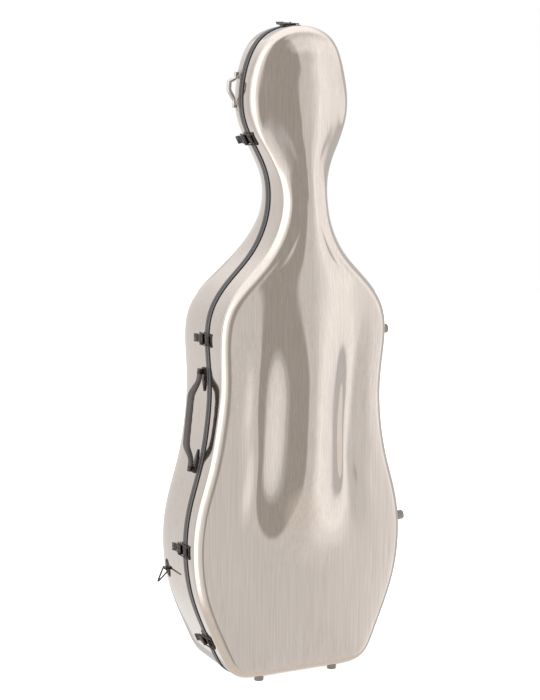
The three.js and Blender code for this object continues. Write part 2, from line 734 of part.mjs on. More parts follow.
// A bowed grip between two pivots on the z axis, bored at both ends for the pins of its posts
function gripGeometry(grip) {
  const span = grip.halfSpan - runningGap
  const bowed = span - grip.leadLength
  const knots = Array.from({ length: grip.rings + 1 }, (_, i) => {
    const share = i / grip.rings
    const rise = share < grip.peakShare ? share / grip.peakShare : (1 - share) / (1 - grip.peakShare)
    return new THREE.Vector3(grip.bulge * smoothStep(rise * grip.steepness), 0, bowed * (2 * share - 1))
  })
  knots.unshift(new THREE.Vector3(0, 0, -span))
  knots.push(new THREE.Vector3(0, 0, span))
  const body = bar(knots, Y_BACK, (i, angle) => grip.radiusAt((i - 1) / grip.rings, angle), grip.sides)
  const bore = (end) => barrel(
    new THREE.Vector3(0, 0, end * (span - grip.boreDepth)),
    new THREE.Vector3(0, 0, end * (span + grip.boreDepth)),
    grip.boreRadius, pinSides,
  )
  return without(body, bore(1), bore(-1))
}

// A post beyond one end of a grip: a barrel on the pivot line, a pin into the grip and a pointed base plate
function postGeometry(grip, frame, end) {
  const from = end * grip.halfSpan
  const to = end * (grip.halfSpan + grip.barrelLength)
  const tip = end * (grip.halfSpan - grip.pinDepth)
  const stem = grip.stemHalfWidth
  const barrelPiece = barrel(new THREE.Vector3(0, 0, from), new THREE.Vector3(0, 0, to), grip.barrelRadius, knuckleSides)
  const pin = barrel(new THREE.Vector3(0, 0, tip), new THREE.Vector3(0, 0, to - end), grip.pinRadius, pinSides)
  const pedestal = box(
    new THREE.Vector3(-grip.pivotRise - seatDepth, -stem, Math.min(from, to)),
    new THREE.Vector3(0, stem, Math.max(from, to)),
  )
  const centre = new THREE.Vector3(0, 0, end * (grip.halfSpan - grip.baseShift)).applyMatrix4(frame)
  const baseFrame = edgeFrame(new THREE.Vector2(centre.x, centre.z), grip.baseLength / 2, centre.y)
  const [length, width] = [grip.baseLength / 2, grip.baseWidth / 2]
  const outline = [
    [length * end, -width * grip.bluntShare], [grip.widestShare * length * end, -width],
    [-length * end, -width * grip.tipShare], [-length * end, width * grip.tipShare],
    [grip.widestShare * length * end, width], [length * end, width * grip.bluntShare],
  ]
  const thickness = seatDepth + grip.baseThickness
  const base = plate(outline, thickness).rotateY(-Math.PI / 2).translate(grip.baseThickness - thickness / 2, 0, 0)
  return without(
    joined(inCase(barrelPiece, frame), inCase(pin, frame), inCase(pedestal, frame), inCase(base, baseFrame)),
    backBody,
  )
}

function addHandle(name, grip) {
  const ends = grip.endShares.map((place) => {
    const end = new THREE.Vector3().setFromMatrixPosition(edgeFrame(placeAt(place), grip.barrelLength))
    return new THREE.Vector2(end.x, end.z)
  })
  const along = ends[1].clone().sub(ends[0]).normalize()
  const normal = new THREE.Vector2(-along.y, along.x)
  const middle = ends[0].clone().add(ends[1]).multiplyScalar(0.5).addScaledVector(normal, grip.pivotRise)
  grip.halfSpan = ends[0].distanceTo(ends[1]) / 2
  const frame = frameAt(middle, normal, grip.pivotY)
  addPlaced(`${name}_grip`, gripGeometry(grip), frame, gripMaterial)
  const inverse = frame.clone().invert()
  addPlaced(`${name}_lower_post`, inCase(postGeometry(grip, frame, 1), inverse), frame, hardwareMaterial)
  addPlaced(`${name}_upper_post`, inCase(postGeometry(grip, frame, -1), inverse), frame, hardwareMaterial)
}

// The carrying handle beside the waist has finger waves inside; the head handle is thin and tapers downwards
const fingerWaves = 4
const fingerWaveDepth = 1.7
const swellShare = 5
const sideGrip = {
  endShares: [[-0.865, 0.334], [-0.764, 0.476]],
  pivotRise: 11,
  pivotY: 24,
  rings: 20,
  sides: 10,
  bulge: 14,
  leadLength: 9,
  peakShare: 0.5,
  steepness: 2.2,
  endRadius: 5.4,
  swell: 0.8,
  widthSwell: 3.4,
  boreRadius: 2.7,
  boreDepth: 9,
  pinRadius: 2.2,
  pinDepth: 7.5,
  barrelRadius: 5.8,
  barrelLength: 11,
  stemHalfWidth: 4.5,
  baseShift: 12,
  baseLength: 50,
  baseWidth: 21,
  bluntShare: 0.62,
  widestShare: 0.35,
  tipShare: 0.12,
  baseThickness: 2.4,
}
sideGrip.radiusAt = (share, angle) => {
  const swell = smoothStep(Math.min(share, 1 - share) * swellShare)
  const inner = Math.max(Math.cos(angle), 0) ** 2
  const wave = (1 - Math.cos(2 * Math.PI * fingerWaves * (2 * share - 0.5))) / 2
  const inside = share > 0.25 && share < 0.75 ? fingerWaveDepth * wave * inner : 0
  return sideGrip.endRadius + swell * (sideGrip.swell + sideGrip.widthSwell * Math.sin(angle) ** 2) - inside
}
addHandle('side_handle', sideGrip)

const headGrip = {
  endShares: [[-0.459, 0.883], [-0.446, 0.927]],
  pivotRise: 7.5,
  pivotY: 21,
  rings: 13,
  sides: 8,
  bulge: 13.5,
  leadLength: 4.5,
  peakShare: 0.26,
  steepness: 1.35,
  endRadius: 3.7,
  swell: 1.1,
  boreRadius: 1.9,
  boreDepth: 5,
  pinRadius: 1.5,
  pinDepth: 4,
  barrelRadius: 4.2,
  barrelLength: 7,
  stemHalfWidth: 3,
  baseShift: -4,
  baseLength: 20,
  baseWidth: 15,
  bluntShare: 0.5,
  widestShare: 0.1,
  tipShare: 0.7,
  baseThickness: 2.2,
}
headGrip.radiusAt = (share) => headGrip.endRadius + headGrip.swell * smoothStep(Math.min(share, 1 - share) * swellShare)
addHandle('head_handle', headGrip)

// Strap rings: a domed oval plate with a barrel, and a three-sided wire ring that swings in it
const ringPlaceShare = [0.985, 0.16]
const ringY = 0.99 * backWallDepth
const ringPlateLength = 42
const ringPlateWidth = 22
const ringPlateTop = 2.5
const ringPlateEdge = 1
const ringPivotRise = 5.1
const ringBarrelRadius = 3.7
const ringBarrelLength = 13
const ringBoreRadius = 2.4
const ringWireRadius = 1.9
const ringHalfWidth = 13
const ringReach = 31
const ringCorner = 3
const ringHang = Math.PI / 4

for (const [name, hand] of [['left', -1], ['right', 1]]) {
  const place = placeAt(ringPlaceShare)
  const frame = edgeFrame(new THREE.Vector2(hand * place.x, place.y), ringPlateLength / 2, ringY)
  const dome = turnedPiece([
    [0, -seatDepth], [ringPlateLength / 2, -seatDepth], [ringPlateLength / 2, ringPlateEdge],
    [0.75 * ringPlateLength / 2, ringPlateTop], [0, ringPlateTop],
  ], 16).scale(1, ringPlateWidth / ringPlateLength, 1)
  const across = (reach) => [new THREE.Vector3(ringPivotRise, -reach, 0), new THREE.Vector3(ringPivotRise, reach, 0)]
  const holder = without(
    joined(dome, barrel(...across(ringBarrelLength / 2), ringBarrelRadius, knuckleSides)),
    barrel(...across(ringBarrelLength), ringBoreRadius, knuckleSides),
  )
  addPlaced(`strap_ring_${name}_plate`, seated(holder, frame, backBody), frame, hardwareMaterial)
  const knots = [
    [0, ringCorner - ringHalfWidth], [0, ringHalfWidth - ringCorner], [ringCorner, ringHalfWidth],
    [ringReach - ringCorner, ringCorner], [ringReach, 0], [ringReach - ringCorner, -ringCorner], [ringCorner, -ringHalfWidth],
  ].map(([reach, y]) => new THREE.Vector3(reach * Math.cos(ringHang), y, -hand * reach * Math.sin(ringHang)))
  const normal = new THREE.Vector3(hand * Math.sin(ringHang), 0, Math.cos(ringHang))
  addPlaced(
    `strap_ring_${name}`, bar(knots, normal, () => ringWireRadius, 6, true), shifted(frame, ringPivotRise, 0, 0), hardwareMaterial,
  )
}

// Feet under the case and taller ones along its right side, each with a recess for its screw
const footRadius = 10.5
const footTipRadius = 9.5
const footHeight = 12
const sideFootHeight = 20
const footScrewRadius = 3.2
const footScrewDepth = 3.5
const footSides = 10
// Where each foot goes: a place in the front view, a share of its half's wall depth, and the half it stands on
const footShares = {
  bottom_lid_left: [[-0.36, 0], 0.46, lid],
  bottom_lid_right: [[0.36, 0], 0.46, lid],
  bottom_back_left: [[-0.36, 0], 0.88, back],
  bottom_back_right: [[0.36, 0], 0.88, back],
  side_lid_lower: [[0.998, 0.2275], 0.4, lid],
  side_lid_upper: [[0.785, 0.534], 0.62, lid],
  side_back_lower: [[0.998, 0.2275], 0.74, back],
  side_back_upper: [[0.785, 0.534], 0.74, back],
}
const underside = new THREE.Vector2(0, -1)
const undersidePlace = placeAt(footShares.bottom_lid_right[0])
undersidePlace.y = -wallRise(undersidePlace, underside, footRadius)

for (const [spot, [share, depthShare, half]] of Object.entries(footShares)) {
  const y = half.side * depthShare * (half === lid ? lidWallDepth : backWallDepth)
  const body = half === lid ? lidBody : backBody
  const place = placeAt(share)
  const frame = place.y > 0
    ? edgeFrame(place, footRadius, y)
    : frameAt(new THREE.Vector2(place.x, undersidePlace.y), underside, y)
  const height = place.y > 0 ? sideFootHeight : footHeight
  const foot = turnedPiece([
    [0, -seatDepth], [footRadius, -seatDepth], [footRadius, 0], [footTipRadius, height],
    [footScrewRadius, height], [footScrewRadius, height - footScrewDepth], [0, height - footScrewDepth],
  ], footSides)
  addPlaced(`foot_${spot}`, seated(foot, frame, body), frame, footMaterial)
}

// Padding that holds the instrument: a cradle and a strap at the neck, and a cushion with a hole for the end pin
const cradleHeight = 0.73 * shellHeight
const cradleHalfLength = 30
const cradleFront = 4
const cradleReach = 2 * neckHalfWidth
const neckRadius = 0.42 * neckHalfWidth
const neckCentreY = 4
const cushionHalfWidth = 0.4 * lowerHalfWidth
const cushionTop = 42
const cushionFront = 14
const endPinRadius = 12
const endPinY = 0.61 * backWallDepth
const roundSides = 16
const cradleBlock = box(
  new THREE.Vector3(-cradleReach, cradleFront, cradleHeight - cradleHalfLength),
  new THREE.Vector3(cradleReach, shellHeight, cradleHeight + cradleHalfLength),
)
const neckSpace = barrel(
  new THREE.Vector3(0, neckCentreY, cradleHeight - 2 * cradleHalfLength),
  new THREE.Vector3(0, neckCentreY, cradleHeight + 2 * cradleHalfLength),
  neckRadius, roundSides,
)
addMesh(caseModel, 'neck_cradle', within(without(cradleBlock, neckSpace), backCavity), liningMaterial)

const strapHalfWidth = 12
const strapThickness = 2.2
const strapArc = Array.from({ length: roundSides / 2 + 1 }, (_, i) => Math.PI + (Math.PI * i) / (roundSides / 2))
const strapOutline = [
  ...strapArc.map((angle) => [(neckRadius + strapThickness + 1) * Math.cos(angle), (neckRadius + strapThickness + 1) * Math.sin(angle)]),
  ...strapArc.reverse().map((angle) => [(neckRadius + 1) * Math.cos(angle), (neckRadius + 1) * Math.sin(angle)]),
]
const strap = plate(strapOutline, 2 * strapHalfWidth).translate(0, cradleFront - seatGap, cradleHeight)
addMesh(caseModel, 'neck_strap', strap, webbingMaterial)

const cushion = box(
  new THREE.Vector3(-cushionHalfWidth, cushionFront, -shellHeight),
  new THREE.Vector3(cushionHalfWidth, shellHeight, cushionTop),
)
const endPinHole = barrel(
  new THREE.Vector3(0, endPinY, -cushionTop), new THREE.Vector3(0, endPinY, 2 * cushionTop), endPinRadius, roundSides,
)
addMesh(caseModel, 'end_cushion', within(without(cushion, endPinHole), backCavity), liningMaterial)

// Bow holders in the lid: a block with a turn button at the frog, a pocket for the tip
const clipX = 0.45 * lowerHalfWidth
const clipHeight = 0.259 * shellHeight
const clipHalfWidth = 9
const clipHalfLength = 8
const clipTop = -0.5 * lidWallDepth
const buttonThickness = 4
const buttonHalfLength = 18
const buttonHalfWidth = 6
const buttonCorner = 4
const clipPinRadius = 2.2
const clipBoreRadius = 2.8
const pocketCentre = 0.39 * neckHalfWidth
const pocketHalfWidth = 0.25 * neckHalfWidth
const pocketLow = 0.7467 * shellHeight
const pocketHeight = 70
const pocketHigh = pocketLow + pocketHeight
const pocketFront = -0.72 * lidWallDepth
const pocketWall = 6
const bowTipHalfWidth = pocketHalfWidth - 0.8 * pocketWall
const bowTipFront = pocketFront - pocketWall
const bowTipBack = bowTipFront - 2 * pocketWall
const pocketFloor = 8

for (const [name, hand] of [['left', -1], ['right', 1]]) {
  const block = within(box(
    new THREE.Vector3(hand * clipX - clipHalfWidth, -shellHeight, clipHeight - clipHalfLength),
    new THREE.Vector3(hand * clipX + clipHalfWidth, clipTop, clipHeight + clipHalfLength),
  ), lidCavity)
  const pinTop = clipTop + runningGap + buttonThickness + runningGap
  const spigot = barrel(
    new THREE.Vector3(hand * clipX, clipTop - 1, clipHeight),
    new THREE.Vector3(hand * clipX, pinTop, clipHeight), clipPinRadius, pinSides,
  )
  const head = barrel(
    new THREE.Vector3(hand * clipX, pinTop - 0.01, clipHeight),
    new THREE.Vector3(hand * clipX, pinTop + 1.5, clipHeight), 2 * clipPinRadius, pinSides,
  )
  addMesh(caseModel, `bow_clip_${name}_base`, joined(block, spigot, head), hardwareMaterial)
  const [long, wide, corner] = [buttonHalfLength, buttonHalfWidth, buttonCorner]
  const outline = [
    [-long, wide - corner], [-long + corner, wide], [long - corner, wide], [long, wide - corner],
    [long, corner - wide], [long - corner, -wide], [corner - long, -wide], [-long, corner - wide],
  ]
  const button = plate(outline, buttonThickness, [[0, 0, clipBoreRadius, pinSides]])
  const place = new THREE.Matrix4().makeRotationX(Math.PI / 2)
    .setPosition(hand * clipX, clipTop + runningGap + buttonThickness / 2, clipHeight)
  addPlaced(`bow_clip_${name}_button`, button, place, hardwareMaterial)
  const pocket = without(
    box(
      new THREE.Vector3(hand * pocketCentre - pocketHalfWidth, -shellHeight, pocketLow),
      new THREE.Vector3(hand * pocketCentre + pocketHalfWidth, pocketFront, pocketHigh),
    ),
    box(
      new THREE.Vector3(hand * pocketCentre - bowTipHalfWidth, bowTipBack, pocketLow - 1),
      new THREE.Vector3(hand * pocketCentre + bowTipHalfWidth, bowTipFront, pocketHigh - pocketFloor),
    ),
  )
  addMesh(caseModel, `bow_pocket_${name}`, within(pocket, lidCavity), liningMaterial)
}

// Pouch for small things at the foot of the lid
const pouchHalfWidth = 0.47 * lowerHalfWidth
const pouchLow = 0.078 * shellHeight
const pouchHigh = 0.152 * shellHeight
const pouchFront = -0.36 * lidWallDepth
const pouch = box(
  new THREE.Vector3(-pouchHalfWidth, -shellHeight, pouchLow),
  new THREE.Vector3(pouchHalfWidth, pouchFront, pouchHigh),
)
addMesh(caseModel, 'accessory_pouch', within(pouch, lidCavity), liningMaterial)

// The origin is the middle of the bounding box at its lowest face
caseModel.updateMatrixWorld(true)
const bounds = new THREE.Box3().setFromObject(caseModel, true)
const middle = bounds.getCenter(new THREE.Vector3())
caseModel.position.set(-middle.x, -middle.y, -bounds.min.z)
caseModel.updateMatrixWorld(true)

export default caseModel
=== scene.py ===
import json
import math

import bmesh
import bpy
import numpy as np
from mathutils import Matrix, Vector
from mathutils.bvhtree import BVHTree


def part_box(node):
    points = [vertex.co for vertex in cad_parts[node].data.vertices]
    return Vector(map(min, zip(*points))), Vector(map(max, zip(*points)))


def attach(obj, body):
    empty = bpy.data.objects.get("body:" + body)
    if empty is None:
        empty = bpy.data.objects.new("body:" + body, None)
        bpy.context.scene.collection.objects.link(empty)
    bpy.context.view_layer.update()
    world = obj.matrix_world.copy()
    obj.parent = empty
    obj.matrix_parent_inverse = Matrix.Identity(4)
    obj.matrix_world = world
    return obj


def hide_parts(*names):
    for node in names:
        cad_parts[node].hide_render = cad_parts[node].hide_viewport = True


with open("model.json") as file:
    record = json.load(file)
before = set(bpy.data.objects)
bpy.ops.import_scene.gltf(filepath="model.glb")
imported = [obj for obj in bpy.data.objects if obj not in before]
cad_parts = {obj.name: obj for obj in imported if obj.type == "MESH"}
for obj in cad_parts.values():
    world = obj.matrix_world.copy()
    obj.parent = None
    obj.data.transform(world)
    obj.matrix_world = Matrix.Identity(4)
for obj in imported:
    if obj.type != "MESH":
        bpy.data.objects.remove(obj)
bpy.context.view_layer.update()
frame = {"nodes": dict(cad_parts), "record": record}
nodes = frame["nodes"]
scene = bpy.context.scene

# ---------------------------------------------------------------- camera
# The view of the studio picture: a long lens in front of the lid, 26 degrees to the case's left
# and 8.6 degrees above its middle, level and without shift.
camera_target = Vector((-0.04712, -0.03231, 0.69915))
camera_side = Vector((-0.43344, -0.88869, 0.14954))
camera_distance = 3.62733
lens = bpy.data.cameras.new("camera")
lens.lens = 89.68
lens.sensor_width = 36
camera = bpy.data.objects.new("camera", lens)
camera.location = camera_target + camera_distance * camera_side
camera.rotation_euler = (-camera_side).to_track_quat("-Z", "Y").to_euler()
scene.collection.objects.link(camera)
scene.camera = camera
scene.view_settings.view_transform = "Standard"

# ---------------------------------------------------------------- studio
# A white tent around the case with grey cards behind the camera: the gloss of the shells mirrors them.
# The floor is pale seamless paper, lit so evenly that it runs into the backdrop.


def linear(code):
    """An sRGB hex colour in the linear values that shaders take."""
    parts = [int(code[i:i + 2], 16) / 255 for i in (0, 2, 4)]
    return [p / 12.92 if p <= 0.04045 else ((p + 0.055) / 1.055) ** 2.4 for p in parts] + [1]


def add_node(tree, kind, inputs=None, **settings):
    """One node with its settings; an input takes a value or another node's output."""
    node = tree.nodes.new(kind)
    for key, value in settings.items():
        setattr(node, key, value)
    for key, value in (inputs or {}).items():
        if isinstance(value, bpy.types.NodeSocket):
            tree.links.new(value, node.inputs[key])
        else:
            node.inputs[key].default_value = value
    return node


# Brightness of the tent by azimuth in degrees, from the front (0) towards the hinge side (90). Stretches
# darker than card_brightness are the cards. Overhead and underfoot the tent fades to one tone.
tent_brightness = [
    (-180, 0.95), (-165, 0.86), (-150, 0.76), (-135, 0.72), (-112, 1.1), (-98, 1.8), (-74, 1.8), (-62, 1.15),
    (-46, 0.97), (-36, 0.84), (-30, 0.6), (-22, 0.45), (5, 0.45), (11, 0.77), (26, 0.77), (33, 0.84),
    (42, 1.02), (54, 1.2), (66, 1.16), (76, 1.1), (86, 0.64), (120, 0.62),
]
tent_peak = 1.8
card_brightness = 0.5
tent_tint = (1, 0.985, 0.975)
card_tint = (1, 0.94, 0.88)
overhead_heights = (0.35, 0.8)
overhead_tone = [0.75, 0.75, 0.75, 1]
underfoot_heights = (-0.5, -0.68)
underfoot_tone = [0.45, 0.42, 0.39, 1]
world = bpy.data.worlds.new("studio")
world.use_nodes = True
scene.world = world
tent = world.node_tree
tent.nodes.clear()
direction = add_node(tent, "ShaderNodeTexCoord").outputs["Generated"]
axes = add_node(tent, "ShaderNodeSeparateXYZ", {0: direction})
front = add_node(tent, "ShaderNodeMath", {0: axes.outputs["Y"], 1: -1}, operation="MULTIPLY")
azimuth = add_node(tent, "ShaderNodeMath", {0: axes.outputs["X"], 1: front.outputs[0]}, operation="ARCTAN2")
turn = add_node(tent, "ShaderNodeMapRange", {0: azimuth.outputs[0], 1: -math.pi, 2: math.pi})
ring = add_node(tent, "ShaderNodeValToRGB", {0: turn.outputs[0]})
ring.color_ramp.interpolation = "EASE"
while len(ring.color_ramp.elements) < len(tent_brightness):
    ring.color_ramp.elements.new(0.5)
for element, (degrees, level) in zip(ring.color_ramp.elements, tent_brightness):
    element.position = (degrees + 180) / 360
    tints = card_tint if level < card_brightness else tent_tint
    element.color = [level / tent_peak * tint for tint in tints] + [1]
lift = add_node(tent, "ShaderNodeMapRange", {
    0: axes.outputs["Z"], 1: overhead_heights[0], 2: overhead_heights[1]})
blend_up = add_node(tent, "ShaderNodeMixRGB", {0: lift.outputs[0], 1: ring.outputs[0], 2: overhead_tone})
drop = add_node(tent, "ShaderNodeMapRange", {
    0: axes.outputs["Z"], 1: underfoot_heights[0], 2: underfoot_heights[1]})
blend_down = add_node(tent, "ShaderNodeMixRGB", {
    0: drop.outputs[0], 1: blend_up.outputs[0], 2: underfoot_tone})
studio_light = add_node(tent, "ShaderNodeBackground", {0: blend_down.outputs[0], 1: tent_peak})
white = add_node(tent, "ShaderNodeBackground", {0: [1, 1, 1, 1], 1: 1.0})
seen = add_node(tent, "ShaderNodeLightPath")
tent_mix = add_node(tent, "ShaderNodeMixShader", {
    0: seen.outputs["Is Camera Ray"], 1: studio_light.outputs[0], 2: white.outputs[0]})
add_node(tent, "ShaderNodeOutputWorld", {0: tent_mix.outputs[0]})

floor_radius = 7
paper_glow = 0.75
floor_mesh = bmesh.new()
bmesh.ops.create_circle(floor_mesh, cap_ends=True, radius=floor_radius, segments=64)
floor_data = bpy.data.meshes.new("floor")
floor_mesh.to_mesh(floor_data)
floor = bpy.data.objects.new("floor", floor_data)
scene.collection.objects.link(floor)
floor.visible_glossy = False
paper = bpy.data.materials.new("seamless_paper")
paper.use_nodes = True
paper_shader = paper.node_tree.nodes["Principled BSDF"]
paper_shader.inputs["Base Color"].default_value = linear("f4f4f4")
paper_shader.inputs["Roughness"].default_value = 1
paper_shader.inputs["Specular IOR Level"].default_value = 0
paper_shader.inputs["Emission Color"].default_value = [1, 1, 1, 1]
paper_shader.inputs["Emission Strength"].default_value = paper_glow
floor_data.materials.append(paper)

# ---------------------------------------------------------------- shells
# Two thin shells of polycarbonate, vacuum formed over a mould. A brushed metal film lies under the clear
# gloss of the surface, so the grain runs straight up the case and the mirror-like coat lies over it.
merge_within = 1e-5


def start_finish(name):
    """A new material with its shader and its place on the piece."""
    material = bpy.data.materials.new(name)
    material.use_nodes = True
    tree = material.node_tree
    place = add_node(tree, "ShaderNodeTexCoord").outputs["Object"]
    return material, tree, tree.nodes["Principled BSDF"], place


def paint(piece, material):
    piece.data.materials.clear()
    piece.data.materials.append(material)


def make_piece(name, bm, body, slot, *replaced):
    """A finished mesh in the row frame, riding on a body and standing for CAD nodes."""
    data = bpy.data.meshes.new(name)
    bm.to_mesh(data)
    bm.free()
    piece = bpy.data.objects.new(name, data)
    scene.collection.objects.link(piece)
    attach(piece, body)
    if replaced:
        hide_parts(*replaced)
    return piece


def quad_copy(node, sharp_degrees):
    """A CAD node's mesh merged and paired into quads, with its sharp edges creased."""
    bm = bmesh.new()
    bm.from_mesh(nodes[node].data)
    bmesh.ops.remove_doubles(bm, verts=bm.verts, dist=merge_within)
    bmesh.ops.join_triangles(
        bm, faces=bm.faces, angle_face_threshold=math.pi, angle_shape_threshold=math.pi)
    crease = bm.edges.layers.float.new("crease_edge")
    for edge in bm.edges:
        if edge.calc_face_angle(0) > math.radians(sharp_degrees):
            edge[crease] = 1
            edge.smooth = False
    for face in bm.faces:
        face.smooth = True
    return bm


def pass_through_corners(bm, rounds=5):
    """Moves the cage so that its smooth surface goes through where the corners are now."""
    crease = bm.edges.layers.float["crease_edge"]
    goals = [vert.co.copy() for vert in bm.verts]
    for _ in range(rounds):
        centre = {face: face.calc_center_median() for face in bm.faces}
        limits = []
        for vert in bm.verts:
            sharp = [edge for edge in vert.link_edges if edge[crease] == 1]
            if len(sharp) > 2:
                limits.append(vert.co.copy())
                continue
            if len(sharp) == 2:
                ends = [edge.other_vert(vert).co for edge in sharp]
                limits.append((4 * vert.co + ends[0] + ends[1]) / 6)
                continue
            count = len(vert.link_edges)
            around = sum((centre[face] for face in vert.link_faces), Vector())
            middles = sum((edge.other_vert(vert).co + vert.co for edge in vert.link_edges), Vector()) / 2
            lifted = (around / count + 2 * middles / count + (count - 3) * vert.co) / count
            spokes = Vector()
            for edge in vert.link_edges:
                beside = sum((centre[face] for face in edge.link_faces), Vector())
                spokes += (vert.co + edge.other_vert(vert).co + beside) / 4
            limits.append((count * count * lifted + 4 * spokes + around) / (count * (count + 5)))
        for vert, goal, limit in zip(bm.verts, goals, limits):
            vert.co += goal - limit
    return bm


def smooth_over(piece, levels):
    modifier = piece.modifiers.new("smooth surface", "SUBSURF")
    modifier.levels = levels
    modifier.render_levels = levels
    return piece


# Brushed film under a clear coat: pale warm silver, streaks about 1 mm and 3 mm wide, drawn wider than
# the real hairlines so that they show.
film_light = "e2d8d0"
film_dark = "d0c6bd"
fine_streak = 0.0009
broad_streak = 0.003
streak_length = 0.16
brushed_film, tree, shader, place = start_finish("brushed_film_under_clear_gloss")
fine_place = add_node(tree, "ShaderNodeMapping", {
    "Vector": place, "Scale": (1 / fine_streak, 1 / fine_streak, 1 / streak_length)})
fine = add_node(tree, "ShaderNodeTexNoise", {"Vector": fine_place.outputs[0], "Scale": 1, "Detail": 3})
broad_place = add_node(tree, "ShaderNodeMapping", {
    "Vector": place, "Scale": (1 / broad_streak, 1 / broad_streak, 1 / streak_length)})
broad = add_node(tree, "ShaderNodeTexNoise", {"Vector": broad_place.outputs[0], "Scale": 1, "Detail": 2})
grain = add_node(tree, "ShaderNodeMath", {0: fine.outputs[0], 1: broad.outputs[0]}, operation="ADD")
grain_share = add_node(tree, "ShaderNodeMapRange", {0: grain.outputs[0], 1: 0.7, 2: 1.3})
tone = add_node(tree, "ShaderNodeMixRGB", {
    0: grain_share.outputs[0], 1: linear(film_dark), 2: linear(film_light)})
gloss = add_node(tree, "ShaderNodeMapRange", {0: grain_share.outputs[0], 3: 0.09, 4: 0.05})
tree.links.new(tone.outputs[0], shader.inputs["Base Color"])
tree.links.new(gloss.outputs[0], shader.inputs["Roughness"])
shader.inputs["Metallic"].default_value = 1
shader.inputs["Coat Weight"].default_value = 1
shader.inputs["Coat Roughness"].default_value = 0.03
shader.inputs["Coat IOR"].default_value = 1.5


def evened(bm, shares, rounds):
    """Evens the depth of a broad face's points, each by its own share."""
    for _ in range(rounds):
        depths = []
        for vert, share in shares:
            near = [(edge.other_vert(vert).co, 1 / max(edge.calc_length(), 1e-4)) for edge in vert.link_edges]
            mean = sum(co.y * weight for co, weight in near) / sum(weight for _, weight in near)
            depths.append(vert.co.y + share * (mean - vert.co.y))
        for (vert, _), depth in zip(shares, depths):
            vert.co.y = depth
    return bm


def drawn_smooth(bm, flatness=0.75):
    """A shell's broad face with its upper part evened, as the hot sheet is drawn over its mould."""
    bm.normal_update()
    shares = [(vert, min(max((vert.co.z - even_from) / even_fade, even_least), even_most))
              for vert in bm.verts if abs(vert.normal.y) > flatness]
    return evened(bm, shares, even_rounds)


def divided(piece, levels):
    """Subdivides a piece's mesh for good."""
    smooth_over(piece, levels)
    bpy.context.view_layer.update()
    fine = bpy.data.meshes.new_from_object(piece.evaluated_get(bpy.context.evaluated_depsgraph_get()))
    piece.modifiers.clear()
    piece.data = fine
    return piece


def bowl_terms(point, end):
    """The terms of a shallow bowl about an end of the middle line, in centimetres."""
    x, z = 100 * point.x, 100 * (point.z - end)
    return (1, x, z, x * x, x * z, z * z)


def crown_evened(piece, ends, reach):
    """Lays a shallow bowl over the pinch where a face's rows meet, at each end of the case's middle line."""
    bm = bmesh.new()
    bm.from_mesh(piece.data)
    bm.normal_update()
    for end in ends:
        for facing in (-1, 1):
            near = [(vert, math.hypot(vert.co.x, vert.co.z - end) / reach) for vert in bm.verts
                    if facing * vert.normal.y > pinch_flatness
                    and math.hypot(vert.co.x, vert.co.z - end) < reach]
            outer = [vert for vert, away in near if away > pinch_inner_share]
            terms = np.array([bowl_terms(vert.co, end) for vert in outer])
            bowl = np.linalg.lstsq(terms, np.array([vert.co.y for vert in outer]), rcond=None)[0]
            for vert, away in near:
                kept = away ** 2 * (3 - 2 * away)
                vert.co.y = kept * vert.co.y + (1 - kept) * float(np.dot(bowl, bowl_terms(vert.co, end)))
    bm.to_mesh(piece.data)
    bm.free()
    return piece


even_from = 0.9
even_fade = 0.3
even_least = 0.03
even_most = 0.5
even_rounds = 5
middle_line_ends = (0.174, 1.281)
pinch_reach = 0.04
pinch_flatness = 0.7
pinch_inner_share = 0.45
shell_crease = 50
for half in ("back", "lid"):
    form = pass_through_corners(drawn_smooth(quad_copy(f"{half}_shell", shell_crease)))
    shell = divided(make_piece(f"{half}_shell_moulding", form, half, "shell", f"{half}_shell"), 2)
    crown_evened(shell, middle_line_ends, pinch_reach)
    paint(shell, brushed_film)

# ---------------------------------------------------------------- edge bands
# Extruded bands of soft vinyl pressed over each shell's edge. The face of each is one grey on its flat band
# next to the shell. Its lip beside the seam and the strip past the flat band are painted darker, as painted
# shade in the seam and at the band's outer edge.
seam_y = -0.0323125
seam_shade_width = 0.0026
band_width = 0.0074
stripe_span = 0.01
stripe_blend = 0.05
band_crease = 30
band_painted_shade = "353233"
band_light = "575354"
band_vinyl, tree, shader, place = start_finish("extruded_vinyl_band")
from_seam = add_node(tree, "ShaderNodeSeparateXYZ", {0: place})
away = add_node(tree, "ShaderNodeMath", {0: from_seam.outputs["Y"], 1: -seam_y}, operation="ADD")
distance = add_node(tree, "ShaderNodeMath", {0: away.outputs[0]}, operation="ABSOLUTE")
across = add_node(tree, "ShaderNodeMapRange", {0: distance.outputs[0], 1: 0, 2: stripe_span})
# Painted shade: dark along the seam and past the flat band, the band's own grey between
band_shade_stripes = add_node(tree, "ShaderNodeValToRGB", {0: across.outputs[0]})
band_shade_stripes.color_ramp.elements[0].color = linear(band_painted_shade)
band_shade_stripes.color_ramp.elements[1].position = seam_shade_width / stripe_span
band_shade_stripes.color_ramp.elements[1].color = linear(band_painted_shade)
for position, colour in ((seam_shade_width / stripe_span + stripe_blend, band_light),
                         (band_width / stripe_span, band_light),
                         (band_width / stripe_span + stripe_blend, band_painted_shade)):
    band_shade_stripes.color_ramp.elements.new(position).color = linear(colour)
speckle = add_node(tree, "ShaderNodeTexNoise", {"Vector": place, "Scale": 900, "Detail": 2})
pores = add_node(tree, "ShaderNodeBump", {"Height": speckle.outputs[0], "Distance": 0.0002, "Strength": 0.3})
tree.links.new(band_shade_stripes.outputs[0], shader.inputs["Base Color"])
tree.links.new(pores.outputs[0], shader.inputs["Normal"])
shader.inputs["Roughness"].default_value = 0.4

for half in ("back", "lid"):
    bm = pass_through_corners(quad_copy(f"{half}_rim", band_crease))
    band = smooth_over(make_piece(f"{half}_edge_band", bm, half, "rim", f"{half}_rim"), 2)
    paint(band, band_vinyl)

